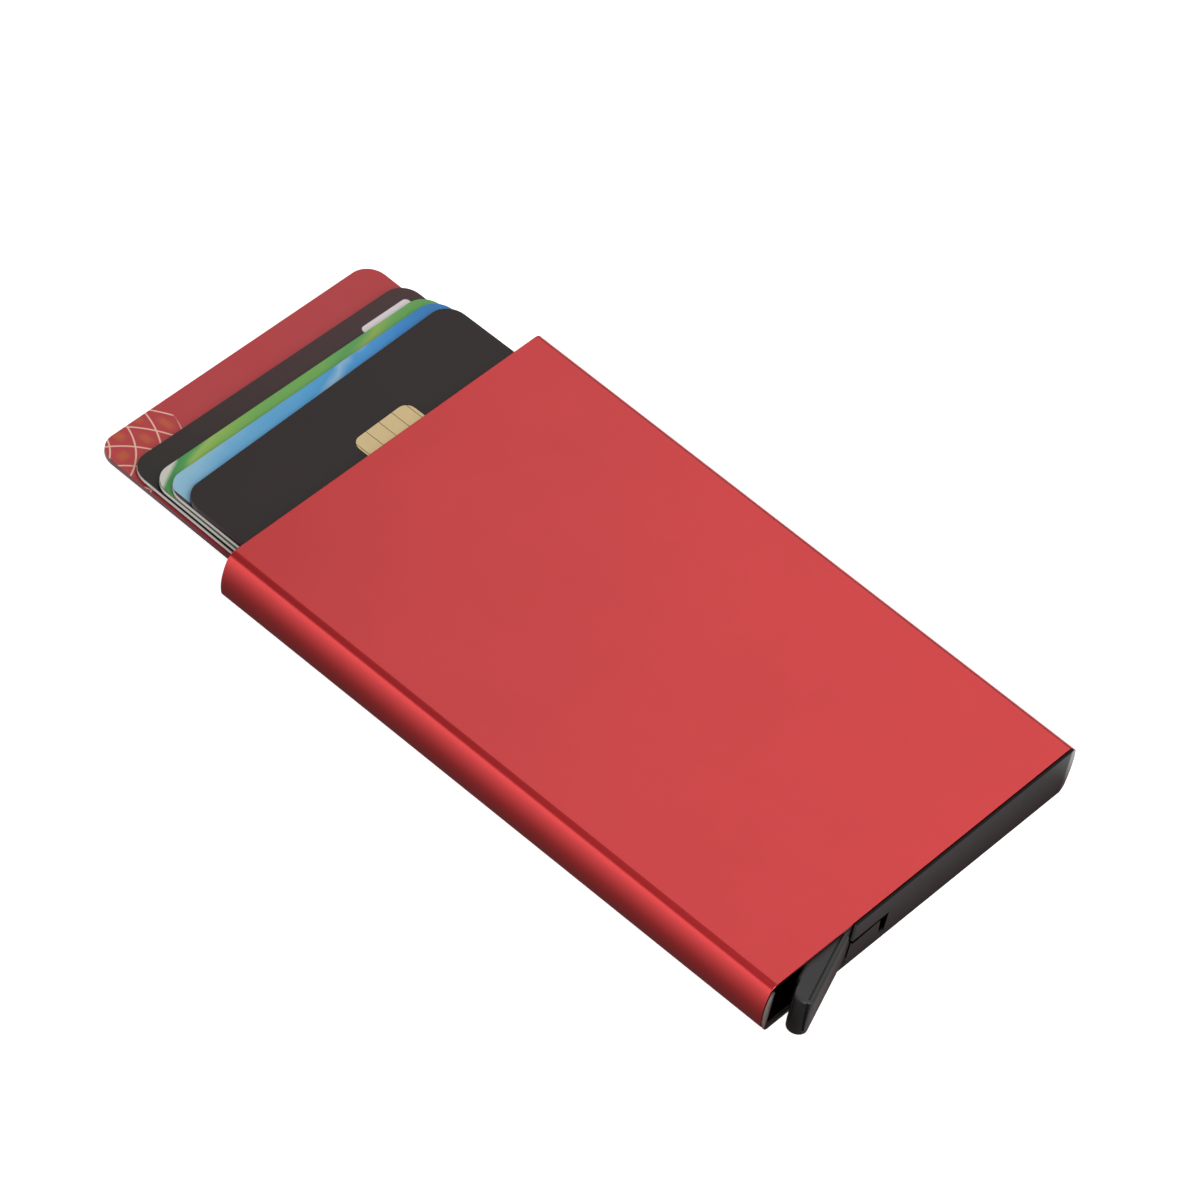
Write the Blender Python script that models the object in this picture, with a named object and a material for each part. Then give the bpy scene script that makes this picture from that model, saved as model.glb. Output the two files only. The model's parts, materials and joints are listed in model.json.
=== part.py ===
# Metal card holder, 3-D source for Blender 4.5.
# Metres, +Z up. +X runs from the mouth to the lever end, -Y is the thumb side.
# The origin is the centre of the sleeve's flat underside.
import math

import bmesh
import bpy

# Cards, the standard bank-card size, which the sleeve is made round.
card_length = 0.0856
card_width = 0.05398
card_thickness = 0.00076
card_corner = 0.00318
card_gap = 0.000297
stack_bottom = 0.00145

# Sleeve, an extruded tube.
sleeve_length = 0.0957
side_room = 0.00952
sleeve_height = 0.0084
sleeve_wall = 0.0007
shoulder_radius = 0.0015
foot_radius = 0.00105
least_round = 0.00002
side_sagitta = 0.00085
sleeve_edge_break = 0.00012
shoulder_steps = 8
side_steps = 16

# End cap, a thin flange on a plug.
cap_seam = 0.00015
cap_flange = 0.00035
plug_fit = 0.0002
plug_depth = 0.0039
plate_overlap = 0.0001
near_rim = 0.00085
far_facet_width = 0.00185
far_facet_depth = 0.00033
window_top = 0.00502
window_low = 0.0013
window_behind = 0.0016
window_undercut = 0.00035
window_reach = 0.00836
strip_lead = 0.00091
plate_lead = 0.00105
plate_thickness = 0.00025
plate_near_gap = 0.0006
plate_far_gap = 0.00022
plate_far_lean = 0.0006
strip_back = 0.0002
strip_back_reach = 0.00075
slot_width = 0.00105
plug_lead = 0.0021

# Ejector lever.
rest_angle = math.radians(19.5)
pivot_from_side = 0.01619
face_to_pivot = 0.0025
lever_set_back = 0.0002
lever_clearance = 0.00015
hook_drop = 0.0014
hook_round = 0.00225
hook_sweep = math.radians(6)
thumb_back = 0.00105
thumb_root = 0.0003
lip_side_gap = 0.00015
nose_round = 0.0015
nose_clear = 0.00002
nose_foot = 0.0005
nose_levels = 20
lean_start = 0.00545
lean_middle = 0.00304
lean_depth = 0.00055
groove_depth = 0.0009
groove_top_x = 0.0015
groove_top_width = 0.0005
groove_low_x = 0.0019
groove_low_width = 0.0003
groove_bottom = 0.0020
outer_round = 0.0007
inner_round = 0.0005
hub_top = 0.00485
hub_relief = 0.00005
hub_radius = 0.0025
hub_face = 0.00208
hub_reach = 0.00756
hub_back = 0.0045
socket_radius = 0.00195
contact_set_back = 0.0065
arm_back = 0.0020
lever_edge = 0.0002
arm_tip_gap = 0.00076
step_shares = (1.0, 0.8027, 0.6735, 0.6009, 0.5102)

# Pivot pin and its lug.
pin_radius = 0.0008
pin_lug_fit = 0.00002
pin_hub_fit = 0.00005
pin_bottom = 0.0012
pin_top = 0.0070
pin_roof = 0.0001
pin_edge = 0.0001
lug_radius = 0.0017
lug_gap = 0.0002
lug_neck = 0.0009
lug_neck_reach = 0.0023

# Name, gap from the card's tail to its step of the lever, sideways shift, yaw in degrees.
card_places = (
    ("card_red", 0.01485, 0.0001, -0.45),
    ("card_charcoal", 0.01186, 0.0000, -0.89),
    ("card_green", 0.00976, 0.0000, -0.73),
    ("card_blue", 0.00853, 0.0000, -0.46),
    ("card_black", 0.00706, 0.00066, 0.88),
)

# Chip module in the top card.
chip_from_lead = 0.0087
chip_length = 0.0127
chip_width = 0.01135
chip_shift = 0.00306
chip_round = 0.0016
chip_thickness = 0.00025
chip_gap = 0.00008
chip_floor_gap = 0.0001
chip_proud = 0.00002

# Guide rails along the sides.
rail_fit = 0.0002
rail_depth = 0.00245
rail_start = 0.0025
rail_to_plug = 0.0073

# Friction strips under the roof behind the mouth.
strip_start = 0.0022
strip_length = 0.0070
strip_width = 0.0177
strip_side_gap = 0.00555
strip_thickness = 0.0005
strip_glue = 0.0001
strip_round = 0.0012

# Leaf spring on the floor.
spring_start = 0.0080
spring_length = 0.0420
spring_half = 0.0150
spring_sheet = 0.00018
spring_floor_gap = 0.0001
spring_rise = 0.00026
spring_slot_half = 0.0035
spring_slot_margin = 0.0060
spring_round = 0.0015
spring_steps = 24

# How far a cutter runs past what it cuts, and the facets of round parts.
past = 0.0010
round_steps = 48
corner_steps = 8

half_length = sleeve_length / 2
sleeve_width = card_width + side_room
flange_inner_x = half_length + cap_seam
flange_outer_x = flange_inner_x + cap_flange
lever_face_x = flange_outer_x - lever_set_back
pivot_x = lever_face_x - face_to_pivot
plug_inner_x = half_length - plug_depth
pivot_y = pivot_from_side - sleeve_width / 2
window_far_y = pivot_y + window_reach
lip_reach = pivot_from_side - sleeve_wall - lip_side_gap
groove_floor = lip_reach - groove_depth
rail_inner = sleeve_width / 2 - rail_depth
rail_end = sleeve_length - plug_depth - rail_to_plug
arm_reach = rail_inner - pivot_y - arm_tip_gap
step_reaches = [arm_reach * share for share in step_shares]
strip_outer = sleeve_width / 2 - strip_side_gap
strip_inner = strip_outer - strip_width
envelope_inset = sleeve_wall + lever_clearance
lever_bottom = envelope_inset
lever_top = sleeve_height - envelope_inset
card_pitch = card_thickness + card_gap


def clear_scene():
    for thing in list(bpy.data.objects):
        bpy.data.objects.remove(thing, do_unlink=True)


def plain_material(name, colour, metallic, roughness):
    mat = bpy.data.materials.new(name)
    mat.use_nodes = True
    shader = mat.node_tree.nodes["Principled BSDF"]
    shader.inputs["Base Color"].default_value = (*colour, 1.0)
    shader.inputs["Metallic"].default_value = metallic
    shader.inputs["Roughness"].default_value = roughness
    return mat


def add_object(name, bm, mat=None, place=(0, 0, 0), turn=0):
    bmesh.ops.recalc_face_normals(bm, faces=bm.faces)
    mesh = bpy.data.meshes.new(name)
    bm.to_mesh(mesh)
    bm.free()
    thing = bpy.data.objects.new(name, mesh)
    bpy.context.scene.collection.objects.link(thing)
    thing.location = place
    thing.rotation_euler = (0, 0, turn)
    if mat:
        mesh.materials.append(mat)
    return thing


def as_cutter(thing):
    thing.hide_render = True
    thing.display_type = "WIRE"
    return thing


def combine(target, other, operation):
    mod = target.modifiers.new(other.name, "BOOLEAN")
    mod.operation = operation
    mod.solver = "EXACT"
    mod.object = as_cutter(other)


def soften(target, width, segments):
    mod = target.modifiers.new("edge", "BEVEL")
    mod.width = width
    mod.segments = segments
    mod.limit_method = "ANGLE"
    mod.angle_limit = math.radians(35)
    mod.use_clamp_overlap = True


def shade(target):
    for face in target.data.polygons:
        face.use_smooth = True
    mod = target.modifiers.new("smooth", "EDGE_SPLIT")
    mod.split_angle = math.radians(30)


def arc(cx, cy, radius, start, end, steps):
    points = []
    for i in range(steps + 1):
        angle = start + (end - start) * i / steps
        points.append((cx + radius * math.cos(angle), cy + radius * math.sin(angle)))
    return points


def circle(radius, steps):
    return arc(0, 0, radius, 0, 2 * math.pi, steps)[:-1]


def rounded_box(x0, x1, y0, y1, radii):
    # radii: lower left, lower right, upper right, upper left
    quarter = math.pi / 2
    corners = ((x0, y0, 1, 1), (x1, y0, -1, 1), (x1, y1, -1, -1), (x0, y1, 1, -1))
    points = []
    for i in range(4):
        x, y, sx, sy = corners[i]
        r = radii[i]
        start = math.pi + i * quarter
        points += arc(x + sx * r, y + sy * r, r, start, start + quarter, corner_steps)
    return points


def side_blend(big, centre, radius):
    # Centre and end angle of the small round between a flat face and the bowed side.
    raised = sleeve_height / 2 - radius
    reach = math.sqrt((big - radius) ** 2 - raised**2)
    return centre + reach, raised, math.atan2(raised, reach)


def side_profile(inset):
    # Half outline (y, z) of the sleeve moved inward, from the flat top round the far side.
    middle = sleeve_height / 2
    big = (middle**2 + side_sagitta**2) / (2 * side_sagitta)
    centre = sleeve_width / 2 - big
    quarter = math.pi / 2
    upper_y, upper_z, upper_tilt = side_blend(big, centre, shoulder_radius)
    lower_y, lower_z, lower_tilt = side_blend(big, centre, foot_radius)
    upper_in = max(shoulder_radius - inset, least_round)
    lower_in = max(foot_radius - inset, least_round)
    upper = arc(upper_y, middle + upper_z, upper_in, quarter, upper_tilt, shoulder_steps)
    side = arc(centre, middle, big - inset, upper_tilt, -lower_tilt, side_steps)[1:-1]
    lower = arc(lower_y, middle - lower_z, lower_in, -lower_tilt, -quarter, shoulder_steps)
    return upper + side + lower


def full_profile(inset):
    far = side_profile(inset)
    near = [(-y, z) for y, z in reversed(far)]
    return far + near


def prism(loop, low, high, axis):
    # A closed body with the outline swept along one axis; 2-D points fill the other two axes in order.
    bm = bmesh.new()
    rings = []
    for level in (low, high):
        ring = []
        for a, b in loop:
            point = {"x": (level, a, b), "y": (a, level, b), "z": (a, b, level)}[axis]
            ring.append(bm.verts.new(point))
        rings.append(ring)
    bm.faces.new(rings[0])
    bm.faces.new(list(reversed(rings[1])))
    count = len(loop)
    for i in range(count):
        j = (i + 1) % count
        bm.faces.new((rings[0][i], rings[1][i], rings[1][j], rings[0][j]))
    return bm


def loft(loops, levels):
    # A closed body through equal outlines at rising heights.
    bm = bmesh.new()
    rings = []
    for loop, level in zip(loops, levels):
        rings.append([bm.verts.new((a, b, level)) for a, b in loop])
    bm.faces.new(rings[0])
    bm.faces.new(list(reversed(rings[-1])))
    count = len(loops[0])
    for low, high in zip(rings, rings[1:]):
        for i in range(count):
            j = (i + 1) % count
            bm.faces.new((low[i], high[i], high[j], low[j]))
    return bm


def block(name, x0, x1, y0, y1, z0, z1, place=(0, 0, 0), turn=0):
    bm = prism([(x0, y0), (x1, y0), (x1, y1), (x0, y1)], z0, z1, "z")
    return add_object(name, bm, None, place, turn)


def build_sleeve(mat):
    bm = bmesh.new()
    loops = [full_profile(0), full_profile(sleeve_wall)]
    rings = []
    for loop in loops:
        for x in (-half_length, half_length):
            rings.append([bm.verts.new((x, y, z)) for y, z in loop])
    outer_a, outer_b, inner_a, inner_b = rings
    count = len(loops[0])
    for i in range(count):
        j = (i + 1) % count
        bm.faces.new((outer_a[i], outer_b[i], outer_b[j], outer_a[j]))
        bm.faces.new((inner_a[i], inner_a[j], inner_b[j], inner_b[i]))
        bm.faces.new((outer_a[i], outer_a[j], inner_a[j], inner_a[i]))
        bm.faces.new((outer_b[i], inner_b[i], inner_b[j], outer_b[j]))
    thing = add_object("sleeve", bm, mat)
    soften(thing, sleeve_edge_break, 2)
    shade(thing)
    return thing


def build_end_cap(mat):
    plate = prism(full_profile(0), flange_inner_x, flange_outer_x, "x")
    cap = add_object("end_cap", plate, mat)
    plug_loop = full_profile(sleeve_wall + plug_fit)
    plug = prism(plug_loop, plug_inner_x, flange_inner_x + plate_overlap, "x")
    combine(cap, add_object("cap_plug", plug), "UNION")
    strip_y = pivot_y + strip_lead
    plug_y = pivot_y + plug_lead
    rim_y = near_rim - sleeve_width / 2
    beyond = flange_outer_x + past
    inside = plug_inner_x - past
    above = sleeve_height + past
    side = sleeve_width / 2
    recess = block("cap_recess", inside, beyond, rim_y, strip_y, sleeve_wall, above)
    combine(cap, recess, "DIFFERENCE")
    window_loop = [
        (inside, strip_y - past),
        (beyond, strip_y - past),
        (beyond, window_far_y),
        (flange_outer_x, window_far_y),
        (flange_inner_x, window_far_y + window_undercut),
        (inside, window_far_y + window_undercut),
    ]
    window = add_object("cap_window", prism(window_loop, window_low, window_top, "z"))
    combine(cap, window, "DIFFERENCE")
    room_far = window_far_y + window_behind
    room = block("cap_room", inside, flange_inner_x, strip_y - past, room_far, sleeve_wall, window_top)
    combine(cap, room, "DIFFERENCE")
    plate_near = pivot_y + plate_lead
    plate_far = window_far_y - slot_width
    plate_loop = [
        (plate_near, 0),
        (plate_far, 0),
        (plate_far - plate_far_lean, window_top - plate_far_gap),
        (plate_near, window_top - plate_near_gap),
    ]
    plate_inner = flange_outer_x - plate_thickness
    combine(cap, add_object("cap_face_plate", prism(plate_loop, plate_inner, flange_outer_x, "x")), "UNION")
    back_low = hub_top + lug_gap
    back_high = sleeve_height - sleeve_wall - plug_fit
    back_args = (flange_inner_x - strip_back, flange_inner_x + plate_overlap, strip_y, strip_y + strip_back_reach)
    combine(cap, block("cap_strip_back", *back_args, back_low, back_high), "UNION")
    relief = block("cap_relief", inside, flange_inner_x, -side, plug_y, -past, above)
    combine(cap, relief, "DIFFERENCE")
    facet_loop = [
        (flange_outer_x, side - far_facet_width),
        (flange_outer_x + past, side - far_facet_width),
        (flange_outer_x + past, side + past),
        (flange_outer_x - far_facet_depth, side + past),
        (flange_outer_x - far_facet_depth, side),
    ]
    facet = add_object("cap_facet", prism(facet_loop, -past, above, "z"))
    combine(cap, facet, "DIFFERENCE")
    lug_loop = [(-lug_radius, lug_neck_reach)]
    lug_loop += arc(0, 0, lug_radius, math.pi, 2 * math.pi, round_steps // 2)
    lug_loop += [(lug_neck, lug_neck_reach)]
    lug_low = hub_top + lug_gap
    lug_high = sleeve_height - sleeve_wall - plug_fit - plate_overlap
    place = (pivot_x, pivot_y, 0)
    combine(cap, add_object("cap_lug", prism(lug_loop, lug_low, lug_high, "z"), None, place), "UNION")
    hole = prism(circle(pin_radius + pin_lug_fit, round_steps), lug_low - past, pin_top + pin_roof, "z")
    combine(cap, add_object("cap_hole", hole, None, place), "DIFFERENCE")
    shade(cap)
    return cap


def nose_steps():
    height = lever_top - lever_bottom
    steps = [lever_bottom + height * (1 - math.cos(math.pi * i / nose_levels)) / 2 for i in range(nose_levels + 1)]
    return steps


def nose_set_back(z):
    # How far the nose is drawn in at one height, to follow the bowed side and to round its lower end.
    level = min(max(z, lever_bottom), lever_top)
    points = side_profile(envelope_inset)
    widest = max(y for y, _ in points)
    here = points[-1][0]
    for (y0, z0), (y1, z1) in zip(points, points[1:]):
        if z1 <= level <= z0 and z0 > z1:
            here = y1 + (y0 - y1) * (level - z1) / (z0 - z1)
    below = max(nose_foot - (level - lever_bottom), 0)
    foot = nose_foot - math.sqrt(nose_foot**2 - below**2)
    return widest - here + nose_clear + foot


def lever_plan(back):
    tip = back - lip_reach
    nose_y = tip + nose_round
    plan = arc(face_to_pivot - nose_round, nose_y, nose_round, 0, -math.pi, round_steps // 2)
    plan += [(lean_depth - thumb_back, tip + lean_middle), (-thumb_back - past, tip + lean_start)]
    plan += [(-thumb_back - past, -hub_radius), (thumb_root, -socket_radius), (thumb_root, past)]
    return plan + [(face_to_pivot + past, past), (face_to_pivot + past, nose_y)]


def build_lever(mat):
    place = (pivot_x, pivot_y, 0)
    turn = rest_angle
    radii = (inner_round, outer_round, outer_round, inner_round)
    thumb_loop = rounded_box(-thumb_back, face_to_pivot, lever_bottom, lever_top, radii)
    lever = add_object("ejector_lever", prism(thumb_loop, -lip_reach - past, -hook_drop, "y"), mat, place, turn)
    levels = [lever_bottom - past] + nose_steps() + [lever_top + past]
    outline = loft([lever_plan(nose_set_back(z)) for z in levels], levels)
    combine(lever, add_object("lever_outline", outline, None, place, turn), "INTERSECT")
    groove_loop = [
        (groove_low_x, groove_bottom),
        (groove_low_x + groove_low_width, groove_bottom),
        (groove_top_x + groove_top_width, lever_top),
        (groove_top_x + groove_top_width, lever_top + past),
        (groove_top_x, lever_top + past),
        (groove_top_x, lever_top),
    ]
    groove = prism(groove_loop, -lip_reach - past, -groove_floor, "y")
    combine(lever, add_object("lever_groove", groove, None, place, turn), "DIFFERENCE")
    envelope_loop = [(y - pivot_y, z) for y, z in full_profile(envelope_inset)]
    envelope = prism(envelope_loop, -face_to_pivot - past, face_to_pivot + past, "x")
    combine(lever, add_object("lever_envelope", envelope, None, place, turn), "INTERSECT")
    hook_loop = [(0, 0)] + arc(0, 0, hook_round, -math.pi / 2, hook_sweep, round_steps // 4)
    hook = prism(hook_loop, hub_top - plate_overlap, lever_top, "z")
    combine(lever, add_object("lever_hook", hook, None, place, turn), "UNION")
    socket = prism(circle(socket_radius, round_steps), hub_top, lever_top + past, "z")
    combine(lever, add_object("lever_socket", socket, None, place, turn), "DIFFERENCE")
    hub_loop = [(hub_face, 0), (hub_face, hub_reach), (-hub_back, hub_reach), (-hub_back, 0)]
    hub_loop += arc(0, 0, hub_radius, math.pi, 2 * math.pi, round_steps // 2)
    hub = prism(hub_loop, lever_bottom + hub_relief, hub_top, "z")
    combine(lever, add_object("lever_hub", hub, None, place, turn), "UNION")
    stairs = [(0, lever_bottom), (step_reaches[0], lever_bottom)]
    for i, reach in enumerate(step_reaches):
        level = stack_bottom + card_thickness + i * card_pitch + card_gap / 2
        stairs += [(reach, level)]
        if i + 1 < len(step_reaches):
            stairs += [(step_reaches[i + 1], level)]
        else:
            stairs += [(0, level)]
    arm = prism(stairs, -contact_set_back, -arm_back, "x")
    combine(lever, add_object("lever_arm", arm, None, place, turn), "UNION")
    bore = prism(circle(pin_radius + pin_hub_fit, round_steps), -past, hub_top + past, "z")
    combine(lever, add_object("lever_bore", bore, None, place, turn), "DIFFERENCE")
    shade(lever)
    return lever


def build_pin(mat):
    bm = prism(circle(pin_radius, round_steps), pin_bottom, pin_top, "z")
    pin = add_object("pivot_pin", bm, mat, (pivot_x, pivot_y, 0))
    soften(pin, pin_edge, 2)
    shade(pin)
    return pin


def build_rail(name, sign, mat):
    outline = []
    points = side_profile(sleeve_wall + rail_fit)
    kept = [(y, z) for y, z in points if y > rail_inner]
    top = points[0][1]
    low = points[-1][1]
    outline = [(rail_inner, top)] + kept + [(rail_inner, low)]
    loop = [(sign * y, z) for y, z in outline]
    bm = prism(loop, rail_start - half_length, rail_end - half_length, "x")
    rail = add_object(name, bm, mat)
    shade(rail)
    return rail


def build_strip(name, sign, mat):
    roof = sleeve_height - sleeve_wall
    x0 = strip_start - half_length
    y0 = min(sign * strip_inner, sign * strip_outer)
    y1 = max(sign * strip_inner, sign * strip_outer)
    radii = (strip_round, strip_round, strip_round, strip_round)
    loop = rounded_box(x0, x0 + strip_length, y0, y1, radii)
    high = roof - strip_glue
    strip = add_object(name, prism(loop, high - strip_thickness, high, "z"), mat)
    shade(strip)
    return strip


def build_spring(mat):
    x0 = spring_start - half_length
    lower = []
    upper = []
    base = sleeve_wall + spring_floor_gap
    for i in range(spring_steps + 1):
        share = i / spring_steps
        lift = spring_rise * math.sin(math.pi * share) ** 2
        x = x0 + spring_length * share
        lower.append((x, base + lift))
        upper.append((x, base + lift + spring_sheet))
    sheet = prism(lower + upper[::-1], -spring_half, spring_half, "y")
    spring = add_object("pressure_spring", sheet, mat)
    slot_x0 = x0 + spring_slot_margin
    slot_x1 = x0 + spring_length - spring_slot_margin
    radii = (spring_round, spring_round, spring_round, spring_round)
    slot_loop = rounded_box(slot_x0, slot_x1, -spring_slot_half, spring_slot_half, radii)
    slot_high = base + spring_rise + past
    combine(spring, add_object("spring_slot", prism(slot_loop, 0, slot_high, "z")), "DIFFERENCE")
    shade(spring)
    return spring


def card_place(index):
    name, tail_gap, shift, yaw = card_places[index]
    reach = step_reaches[index]
    contact_x = pivot_x - contact_set_back * math.cos(rest_angle) - reach * math.sin(rest_angle)
    x = contact_x - tail_gap - card_length / 2
    z = stack_bottom + index * card_pitch
    return name, (x, shift, z), math.radians(yaw)


def build_card(index, mat):
    name, place, turn = card_place(index)
    radii = (card_corner, card_corner, card_corner, card_corner)
    half_x = card_length / 2
    half_y = card_width / 2
    loop = rounded_box(-half_x, half_x, -half_y, half_y, radii)
    card = add_object(name, prism(loop, 0, card_thickness, "z"), mat, place, turn)
    if name == "card_black":
        pocket_loop = chip_loop(chip_gap)
        depth = chip_thickness + chip_floor_gap - chip_proud
        pocket = prism(pocket_loop, card_thickness - depth, card_thickness + past, "z")
        combine(card, add_object("card_pocket", pocket, None, place, turn), "DIFFERENCE")
    shade(card)
    return card


def chip_loop(grow):
    x0 = chip_from_lead - card_length / 2 - grow
    x1 = x0 + chip_length + 2 * grow
    y0 = chip_shift - chip_width / 2 - grow
    y1 = chip_shift + chip_width / 2 + grow
    r = chip_round + grow
    return rounded_box(x0, x1, y0, y1, (r, r, r, r))


def build_chip(mat):
    _, place, turn = card_place(len(card_places) - 1)
    high = card_thickness + chip_proud
    chip = add_object("chip_module", prism(chip_loop(0), high - chip_thickness, high, "z"), mat, place, turn)
    shade(chip)
    return chip


def build():
    clear_scene()
    build_sleeve(plain_material("red anodised aluminium", (0.55, 0.06, 0.06), 1.0, 0.4))
    black = plain_material("black moulded plastic", (0.03, 0.03, 0.03), 0.0, 0.5)
    build_end_cap(black)
    grey = plain_material("dark grey moulded plastic", (0.05, 0.05, 0.05), 0.0, 0.5)
    build_lever(grey)
    build_pin(plain_material("steel pin", (0.6, 0.6, 0.6), 1.0, 0.3))
    inner = plain_material("black guide plastic", (0.02, 0.02, 0.02), 0.0, 0.6)
    build_rail("guide_rail_near", -1, inner)
    build_rail("guide_rail_far", 1, inner)
    felt = plain_material("black felt", (0.015, 0.015, 0.015), 0.0, 1.0)
    build_strip("friction_strip_near", -1, felt)
    build_strip("friction_strip_far", 1, felt)
    build_spring(plain_material("spring steel", (0.5, 0.5, 0.5), 1.0, 0.35))
    shares = (
        (0.42, 0.06, 0.07),
        (0.05, 0.05, 0.05),
        (0.10, 0.35, 0.08),
        (0.06, 0.25, 0.50),
        (0.03, 0.03, 0.03),
    )
    for i, share in enumerate(shares):
        build_card(i, plain_material(f"printed card {i + 1}", share, 0.0, 0.35))
    build_chip(plain_material("gold contact plate", (0.6, 0.45, 0.2), 1.0, 0.35))


build()
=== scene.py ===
import bpy
import bmesh
import json
import math
from mathutils import Matrix, Vector


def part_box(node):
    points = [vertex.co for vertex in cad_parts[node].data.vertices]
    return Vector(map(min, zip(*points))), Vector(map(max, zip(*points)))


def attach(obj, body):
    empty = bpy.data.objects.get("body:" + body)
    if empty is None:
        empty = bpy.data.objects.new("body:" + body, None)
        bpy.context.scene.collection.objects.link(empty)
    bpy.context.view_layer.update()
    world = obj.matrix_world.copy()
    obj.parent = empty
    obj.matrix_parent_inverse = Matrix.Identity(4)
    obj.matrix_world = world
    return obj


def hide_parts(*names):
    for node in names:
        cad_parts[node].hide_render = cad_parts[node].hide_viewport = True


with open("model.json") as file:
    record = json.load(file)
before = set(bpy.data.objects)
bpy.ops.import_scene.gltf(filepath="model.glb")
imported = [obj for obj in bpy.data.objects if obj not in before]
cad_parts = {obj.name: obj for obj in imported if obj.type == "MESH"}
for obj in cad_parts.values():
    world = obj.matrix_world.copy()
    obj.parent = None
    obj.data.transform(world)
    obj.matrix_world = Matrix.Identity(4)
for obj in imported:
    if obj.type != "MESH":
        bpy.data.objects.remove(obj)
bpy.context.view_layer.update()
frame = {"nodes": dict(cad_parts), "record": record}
scene = bpy.context.scene
mm = 0.001
print("frame loaded")


def toLinear(hexText):
    values = []
    for i in (0, 2, 4):
        c = int(hexText[i:i + 2], 16) / 255
        values.append(c / 12.92 if c <= 0.04045 else ((c + 0.055) / 1.055) ** 2.4)
    return (*values, 1.0)


def addNode(tree, kind, settings=None, links=None):
    # Settings are the node's properties or its inputs' values, links join its inputs to sockets.
    # In a colour Mix, input 0 is the share, inputs 6 and 7 are the colours, and output 2 is the result.
    node = tree.nodes.new(kind)
    for key, value in (settings or {}).items():
        if isinstance(key, str) and hasattr(node, key):
            setattr(node, key, value)
        else:
            node.inputs[key].default_value = value
    for key, socket in (links or {}).items():
        tree.links.new(socket, node.inputs[key])
    return node


def newMaterial(name):
    material = bpy.data.materials.new(name)
    material.use_nodes = True
    material.node_tree.nodes.clear()
    return material, material.node_tree


def finishMaterial(tree, shader):
    addNode(tree, "ShaderNodeOutputMaterial", None, {"Surface": shader.outputs[0]})


def fillRamp(ramp, stops):
    elements = ramp.color_ramp.elements
    while len(elements) > 1:
        elements.remove(elements[-1])
    for i, (position, colour) in enumerate(stops):
        element = elements[0] if i == 0 else elements.new(position)
        element.position = position
        element.color = colour


# Camera: solved from the photograph's edges, a long lens rolled by 14 degrees.
view = {
    "azimuth": 30.942,
    "elevation": 47.671,
    "roll": 14.264,
    "distance": 1.021428,
    "aim": (-0.00785, 0.0, 0.004),
    "right": -0.000395,
    "up": 0.004853,
    "lens": 231.701,
    "sensor": 36,
    "nearest": 0.01,
    "farthest": 20,
}


def placeCamera():
    a = math.radians(view["azimuth"])
    e = math.radians(view["elevation"])
    r = math.radians(view["roll"])
    back = Vector((math.sin(a) * math.cos(e), -math.cos(a) * math.cos(e), math.sin(e)))
    flat = Vector((math.cos(a), math.sin(a), 0))
    upright = back.cross(flat)
    right = math.cos(r) * flat + math.sin(r) * upright
    up = -math.sin(r) * flat + math.cos(r) * upright
    spot = Vector(view["aim"]) + right * view["right"] + up * view["up"] + back * view["distance"]
    data = bpy.data.cameras.new("camera")
    data.lens = view["lens"]
    data.sensor_width = view["sensor"]
    data.clip_start = view["nearest"]
    data.clip_end = view["farthest"]
    camera = bpy.data.objects.new("camera", data)
    scene.collection.objects.link(camera)
    turn = Matrix((right, up, back)).transposed().to_4x4()
    camera.matrix_world = Matrix.Translation(spot) @ turn
    scene.camera = camera


placeCamera()
print("camera placed")

# Studio: soft panels round a pale floor. Power in watts, sizes and places in metres.
panels = {
    "farPanel": {"place": (-0.12, 0.76, 0.78), "size": (0.84, 0.72), "power": 1.67},
    "sidePanel": {"place": (-0.30, -0.85, 0.32), "size": (1.0, 0.58), "power": 1.95},
    "rightPanel": {"place": (0.95, 0.25, 0.85), "size": (1.3, 1.3), "power": 5.5},
    "frontPanel": {"place": (0.5, -0.5, 1.0), "size": (0.85, 0.85), "power": 8.6},
    "leftPanel": {"place": (-1.0, 0.34, 0.73), "size": (0.8, 0.8), "power": 1.1},
    "lowLeftPanel": {"place": (-1.25, -0.10, 0.42), "size": (1.1, 0.55), "power": 0.7},
    "topPanel": {"place": (0.12, 0.0, 1.25), "size": (0.6, 0.8), "power": 0.85},
}
studio = {
    "worldGrey": 0.175,
    "floorColour": "C8C8C8",
    "floorGlow": 0.86,
    "floorSize": 6.0,
    "floorDrop": 0.03,  # mm under the object
    # What gloss sees of the floor: red and rest by the distance from the object's footprint.
    "footprint": (0.048, 0.0317, 0.0317),
    "mirrorSides": (1, 1, 4),
    "mirrorReach": 0.030,
    "mirrorPeak": 2.0,
    "mirrorStops": [
        (0.0, 0.14, 0.08), (0.067, 0.20, 0.13), (0.133, 0.29, 0.21), (0.2, 0.38, 0.33),
        (0.33, 0.55, 0.53), (0.6, 0.88, 0.88), (1.0, 1.14, 1.14),
    ],
}


def addPanels():
    for name, p in panels.items():
        data = bpy.data.lights.new(name, "AREA")
        data.shape = "RECTANGLE"
        data.size, data.size_y = p["size"]
        data.energy = p["power"]
        lamp = bpy.data.objects.new(name, data)
        lamp.location = p["place"]
        lamp.rotation_euler = (-Vector(p["place"])).to_track_quat("-Z", "Y").to_euler()
        scene.collection.objects.link(lamp)


def addWorld():
    world = bpy.data.worlds.new("studio")
    world.use_nodes = True
    tree = world.node_tree
    tree.nodes.clear()
    grey = studio["worldGrey"]
    shade = addNode(tree, "ShaderNodeBackground", {"Color": (grey, grey, grey, 1), "Strength": 1.0})
    addNode(tree, "ShaderNodeOutputWorld", None, {"Surface": shade.outputs[0]})
    scene.world = world


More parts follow.
